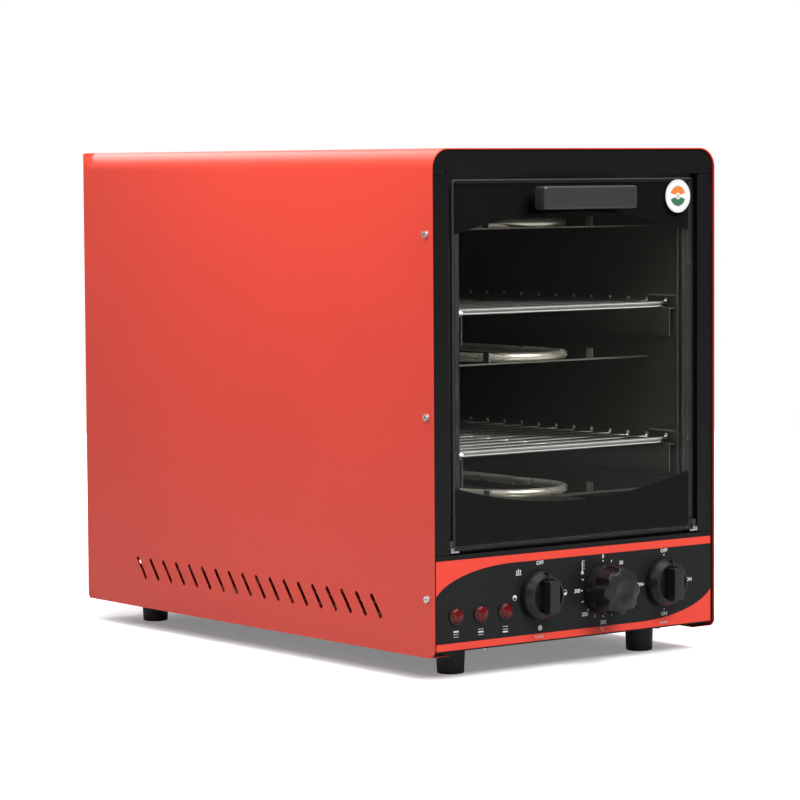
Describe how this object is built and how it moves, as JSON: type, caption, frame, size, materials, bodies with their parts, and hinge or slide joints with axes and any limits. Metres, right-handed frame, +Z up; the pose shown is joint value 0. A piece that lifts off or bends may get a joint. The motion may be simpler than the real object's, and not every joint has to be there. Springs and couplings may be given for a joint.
{
  "type": "electric pizza oven",
  "caption": "Tall countertop pizza oven with a drop-down glass door, sliding wire racks, tube heaters, rotary controls and indicator lamps in a vented sheet-metal shell.",
  "frame": {"origin": "centre of the footprint of the whole oven, on the plane that its feet stand on", "axes": "+Z up, +X to the right of someone facing the door, +Y from the door towards the rear"},
  "size_m": [0.3404, 0.616, 0.472],
  "materials": {
    "red_paint": "satin powder coat",
    "black_paint": "satin powder coat",
    "red_label": "satin printed film",
    "black_label": "satin printed film",
    "knob_plastic": "fine grained",
    "handle_plastic": "fine grained",
    "lamp_lens": "clear red, faceted",
    "lamp_body": "matt",
    "door_glass": "clear, polished, ground edges",
    "glass_print": "black print fired on glass",
    "bright_steel": "bright",
    "chamber_steel": "aluminised sheet, matt",
    "chrome_wire": "bright plated",
    "heater_steel": "bright, satin",
    "screw_steel": "plated",
    "black_screw": "black oxide",
    "zinc_sheet": "zinc plated, matt",
    "seal_rubber": "matt silicone",
    "foot_plastic": "matt moulded",
    "wool": "matt mineral wool",
    "ceramic": "matt unglazed",
    "switch_plastic": "matt moulded",
    "terminal_plastic": "matt moulded",
    "copper": "drawn, bright",
    "loom_sleeve": "braided sleeve",
    "gland_plastic": "matt moulded",
    "paper": "printed"
  },
  "bodies": {
    "oven": {"outer_shell": "red_paint", "shell_screws": "screw_steel", "header": "black_paint", "header_screws": "black_screw", "left_stile": "black_paint", "right_stile": "black_paint", "hinge_brackets": "zinc_sheet", "control_panel": "black_paint", "panel_screws": "screw_steel", "panel_label": "red_label", "label_field": "black_label", "indicator_lenses": "lamp_lens", "indicator_bodies": "lamp_body", "selector_switch": "switch_plastic", "centre_heater_switch": "switch_plastic", "thermostat_body": "zinc_sheet", "thermostat_bulb": "copper", "mouth_ring": "chamber_steel", "mouth_screws": "screw_steel", "door_seal": "seal_rubber", "chamber_wrap": "chamber_steel", "chamber_rear_wall": "chamber_steel", "chamber_floor": "chamber_steel", "rack_runners": "chamber_steel", "rack_guides": "bright_steel", "heater_bottom": "heater_steel", "heater_centre": "heater_steel", "heater_top": "heater_steel", "heater_support_bottom": "chamber_steel", "heater_support_centre": "chamber_steel", "heater_support_top": "chamber_steel", "heater_bushes": "ceramic", "insulation": "wool", "bay_divider": "zinc_sheet", "bay_posts": "zinc_sheet", "base_pan": "zinc_sheet", "back_panel": "red_paint", "back_screws": "screw_steel", "cable_gland": "gland_plastic", "terminal_block": "terminal_plastic", "wiring_loom": "loom_sleeve", "feet": "foot_plastic", "foot_screws": "screw_steel"},
    "door": {"door_glass": "door_glass", "upper_print": "glass_print", "lower_print": "glass_print", "left_hinge_clip": "bright_steel", "right_hinge_clip": "bright_steel", "door_handle": "handle_plastic", "handle_screws": "screw_steel", "round_sticker": "paper"},
    "upper_rack": {"rack_upper": "chrome_wire"},
    "lower_rack": {"rack_lower": "chrome_wire"},
    "selector": {"selector_knob": "knob_plastic", "selector_shaft": "zinc_sheet"},
    "thermostat": {"thermostat_knob": "knob_plastic", "thermostat_shaft": "zinc_sheet"},
    "centre_heater_control": {"centre_heater_knob": "knob_plastic", "centre_heater_shaft": "zinc_sheet"}
  },
  "joints": [
    {"name": "door_hinge", "type": "hinge", "parent": "oven", "child": "door", "pos_m": [0, -0.2738, 0.1196], "axis": [1, 0, 0], "range_deg": [0, 90]},
    {"name": "upper_rack_slide", "type": "slide", "parent": "oven", "child": "upper_rack", "axis": [0, -1, 0], "range_m": [0, 0.236]},
    {"name": "lower_rack_slide", "type": "slide", "parent": "oven", "child": "lower_rack", "axis": [0, -1, 0], "range_m": [0, 0.1495]},
    {"name": "selector_turn", "type": "hinge", "parent": "oven", "child": "selector", "pos_m": [-0.045, -0.284, 0.0689], "axis": [0, 1, 0], "continuous": true},
    {"name": "thermostat_turn", "type": "hinge", "parent": "oven", "child": "thermostat", "pos_m": [0.0305, -0.284, 0.0689], "axis": [0, 1, 0], "range_deg": [0, 270]},
    {"name": "centre_heater_turn", "type": "hinge", "parent": "oven", "child": "centre_heater_control", "pos_m": [0.1056, -0.284, 0.0689], "axis": [0, 1, 0], "continuous": true}
  ],
  "couplings": [
    {"joint": "upper_rack_slide", "follows": "door_hinge", "m_per_rad": 0.15},
    {"joint": "lower_rack_slide", "follows": "door_hinge", "m_per_rad": 0.095}
  ]
}
